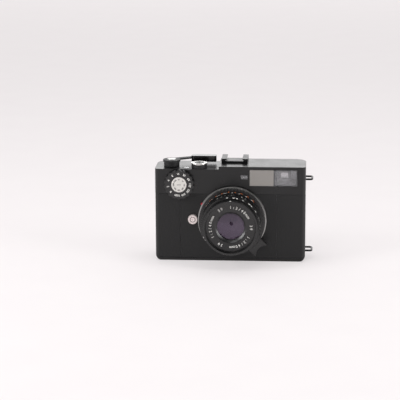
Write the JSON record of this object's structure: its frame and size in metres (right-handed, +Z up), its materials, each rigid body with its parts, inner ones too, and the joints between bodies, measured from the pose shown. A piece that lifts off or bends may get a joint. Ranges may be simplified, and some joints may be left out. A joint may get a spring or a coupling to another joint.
{
  "type": "rangefinder camera",
  "caption": "Compact film camera with a raised finder housing, long front window, front speed dial, ribbed focusing lens on a bayonet flange, side strap loops and a slide-off back.",
  "frame": {"origin": "centre of the tripod socket mouth, on the plane the base rests on, in the middle of the body", "axes": "+X towards the end with the strap loops and the finder window, +Y from the lens towards the back, +Z up"},
  "size_m": [0.1212, 0.0633, 0.0788],
  "materials": {
    "black_enamel": "satin baked enamel",
    "die_cast_alloy": "as cast, dull",
    "grained_covering": "fine grained, dull",
    "polished_chrome": "satin chrome plate",
    "satin_steel": "turned and brushed",
    "frosted_window": "ground on the back",
    "clear_glass": "polished",
    "silvered_glass": "silvered",
    "black_plastic": "moulded, polished",
    "white_plastic": "moulded, dull",
    "blackened_metal": "matt black",
    "curtain_cloth": "rubbered cloth",
    "gear_brass": "hobbed",
    "black_anodised": "black anodised, semi gloss",
    "red_plastic": "moulded",
    "coated_glass": "polished and coated"
  },
  "bodies": {
    "body": {"top_cover": "black_enamel", "chassis": "die_cast_alloy", "front_covering": "grained_covering", "left_covering": "grained_covering", "right_covering": "grained_covering", "bayonet_flange": "polished_chrome", "accessory_shoe": "polished_chrome", "shoe_spring": "satin_steel", "illumination_window": "frosted_window", "viewfinder_window": "clear_glass", "rangefinder_window": "clear_glass", "finder_frame": "die_cast_alloy", "finder_mirrors": "silvered_glass", "eyepiece_frame": "black_plastic", "eyepiece_lens": "clear_glass", "counter_window": "clear_glass", "strap_loops": "polished_chrome", "shutter_frame": "blackened_metal", "shutter_curtain": "curtain_cloth", "pressure_plate": "blackened_metal", "release_collar": "blackened_metal", "release_ring": "polished_chrome", "lens_mount": "satin_steel", "red_bead": "red_plastic"},
    "lens_release": {"lens_lock_pin": "satin_steel", "lens_release_button": "satin_steel"},
    "advance": {"advance_hub": "blackened_metal", "advance_lever": "satin_steel", "lever_tip": "black_plastic", "advance_shaft": "satin_steel"},
    "idler": {"idler_gear": "gear_brass"},
    "sprocket": {"film_sprocket": "satin_steel"},
    "spool": {"take_up_spool": "black_plastic"},
    "counter": {"counter_dial": "white_plastic"},
    "top_roll": {"upper_roller": "satin_steel"},
    "bottom_roll": {"lower_roller": "satin_steel"},
    "meter": {"meter_arm": "satin_steel"},
    "release": {"release_button": "black_plastic"},
    "dial": {"speed_dial": "black_anodised"},
    "film_speed": {"film_speed_disc": "satin_steel"},
    "back": {"back_shell": "black_enamel", "back_covering": "grained_covering", "tripod_bush": "polished_chrome"},
    "key": {"lock_key": "polished_chrome"},
    "rewind": {"rewind_fork": "satin_steel"},
    "crank": {"rewind_crank": "polished_chrome"},
    "focus": {"focus_ring": "black_anodised", "focus_tab": "black_anodised"},
    "barrel": {"lens_barrel": "black_anodised", "filter_ring": "black_anodised", "name_ring": "black_anodised", "front_element": "coated_glass", "rear_element": "coated_glass"},
    "aperture": {"aperture_ring": "black_anodised"},
    "blade_1": {"iris_blade_1": "blackened_metal"},
    "blade_2": {"iris_blade_2": "blackened_metal"},
    "blade_3": {"iris_blade_3": "blackened_metal"},
    "blade_4": {"iris_blade_4": "blackened_metal"},
    "blade_5": {"iris_blade_5": "blackened_metal"},
    "blade_6": {"iris_blade_6": "blackened_metal"}
  },
  "joints": [
    {"name": "advance_stroke", "type": "hinge", "parent": "body", "child": "advance", "pos_m": [-0.0456, -0.0046, 0.076], "axis": [0, 0, 1], "range_deg": [0, 130], "stiffness_Nm_per_rad": 0.02},
    {"name": "idler_turn", "type": "hinge", "parent": "body", "child": "idler", "pos_m": [-0.03209, -0.00094, 0.0557], "axis": [0, 0, 1], "range_deg": [-235, 0]},
    {"name": "sprocket_turn", "type": "hinge", "parent": "body", "child": "sprocket", "pos_m": [-0.0258, 0.0044, 0.04], "axis": [0, 0, 1], "range_deg": [0, 361]},
    {"name": "spool_turn", "type": "hinge", "parent": "body", "child": "spool", "pos_m": [-0.0448, -0.003, 0.0315], "axis": [0, 0, 1], "range_deg": [0, 337]},
    {"name": "counter_turn", "type": "hinge", "parent": "body", "child": "counter", "pos_m": [-0.0334, -0.007, 0.07], "axis": [0, 0, 1], "range_deg": [-9.1, 0]},
    {"name": "upper_roller_turn", "type": "hinge", "parent": "body", "child": "top_roll", "pos_m": [0.0018, 0.0066, 0.0487], "axis": [1, 0, 0], "range_deg": [0, 810]},
    {"name": "lower_roller_turn", "type": "hinge", "parent": "body", "child": "bottom_roll", "pos_m": [0.0018, 0.0066, 0.0177], "axis": [1, 0, 0], "range_deg": [0, 810]},
    {"name": "release_press", "type": "slide", "parent": "body", "child": "release", "axis": [0, 0, 1], "range_m": [-0.002, 0], "stiffness_N_per_m": 500},
    {"name": "meter_swing", "type": "hinge", "parent": "body", "child": "meter", "pos_m": [-0.0122, -0.003, 0.0137], "axis": [0, -1, 0], "range_deg": [-54.5, 0]},
    {"name": "speed_dial_turn", "type": "hinge", "parent": "body", "child": "dial", "pos_m": [-0.0389, -0.018, 0.0608], "axis": [0, 1, 0], "range_deg": [-150, 150]},
    {"name": "film_speed_turn", "type": "hinge", "parent": "dial", "child": "film_speed", "pos_m": [-0.0389, -0.0195, 0.0608], "axis": [0, 1, 0], "range_deg": [-120, 120]},
    {"name": "lens_release_press", "type": "slide", "parent": "body", "child": "lens_release", "axis": [0, 1, 0], "range_m": [0, 0.0013], "stiffness_N_per_m": 400},
    {"name": "back_slide", "type": "slide", "parent": "body", "child": "back", "axis": [0, 0, 1], "range_m": [-0.06, 0]},
    {"name": "lock_key_turn", "type": "hinge", "parent": "back", "child": "key", "pos_m": [0.02, 0, 0.001], "axis": [0, 0, 1], "range_deg": [0, 90]},
    {"name": "rewind_turn", "type": "hinge", "parent": "back", "child": "rewind", "pos_m": [0.0425, -0.001, 0.003], "axis": [0, 0, 1], "continuous": true},
    {"name": "crank_flip", "type": "hinge", "parent": "rewind", "child": "crank", "pos_m": [0.0355, -0.001, 0.00145], "axis": [0, 1, 0], "range_deg": [0, 110]},
    {"name": "focus_turn", "type": "hinge", "parent": "body", "child": "focus", "pos_m": [0.0018, -0.022, 0.0332], "axis": [0, 1, 0], "range_deg": [0, 70]},
    {"name": "barrel_travel", "type": "slide", "parent": "body", "child": "barrel", "axis": [0, -1, 0], "range_m": [0, 0.0021]},
    {"name": "aperture_turn", "type": "hinge", "parent": "barrel", "child": "aperture", "pos_m": [0.0018, -0.035, 0.0332], "axis": [0, 1, 0], "range_deg": [0, 60]},
    {"name": "blade_1_turn", "type": "hinge", "parent": "barrel", "child": "blade_1", "pos_m": [0.0142, -0.02845, 0.0332], "axis": [0, 1, 0], "range_deg": [0, 37.4]},
    {"name": "blade_2_turn", "type": "hinge", "parent": "barrel", "child": "blade_2", "pos_m": [0.008, -0.0287, 0.04394], "axis": [0, 1, 0], "range_deg": [0, 37.4]},
    {"name": "blade_3_turn", "type": "hinge", "parent": "barrel", "child": "blade_3", "pos_m": [-0.0044, -0.02895, 0.04394], "axis": [0, 1, 0], "range_deg": [0, 37.4]},
    {"name": "blade_4_turn", "type": "hinge", "parent": "barrel", "child": "blade_4", "pos_m": [-0.0106, -0.0292, 0.0332], "axis": [0, 1, 0], "range_deg": [0, 37.4]},
    {"name": "blade_5_turn", "type": "hinge", "parent": "barrel", "child": "blade_5", "pos_m": [-0.0044, -0.02945, 0.02246], "axis": [0, 1, 0], "range_deg": [0, 37.4]},
    {"name": "blade_6_turn", "type": "hinge", "parent": "barrel", "child": "blade_6", "pos_m": [0.008, -0.0297, 0.02246], "axis": [0, 1, 0], "range_deg": [0, 37.4]}
  ],
  "couplings": [
    {"joint": "idler_turn", "follows": "advance_stroke", "ratio": -1.8},
    {"joint": "sprocket_turn", "follows": "advance_stroke", "ratio": 2.7692},
    {"joint": "spool_turn", "follows": "advance_stroke", "ratio": 2.58},
    {"joint": "counter_turn", "follows": "advance_stroke", "ratio": -0.0692},
    {"joint": "upper_roller_turn", "follows": "advance_stroke", "ratio": 6.2},
    {"joint": "lower_roller_turn", "follows": "advance_stroke", "ratio": 6.2},
    {"joint": "meter_swing", "follows": "release_press", "rad_per_m": 470},
    {"joint": "barrel_travel", "follows": "focus_turn", "m_per_rad": 0.00171},
    {"joint": "blade_1_turn", "follows": "aperture_turn", "ratio": 0.623},
    {"joint": "blade_2_turn", "follows": "aperture_turn", "ratio": 0.623},
    {"joint": "blade_3_turn", "follows": "aperture_turn", "ratio": 0.623},
    {"joint": "blade_4_turn", "follows": "aperture_turn", "ratio": 0.623},
    {"joint": "blade_5_turn", "follows": "aperture_turn", "ratio": 0.623},
    {"joint": "blade_6_turn", "follows": "aperture_turn", "ratio": 0.623}
  ]
}
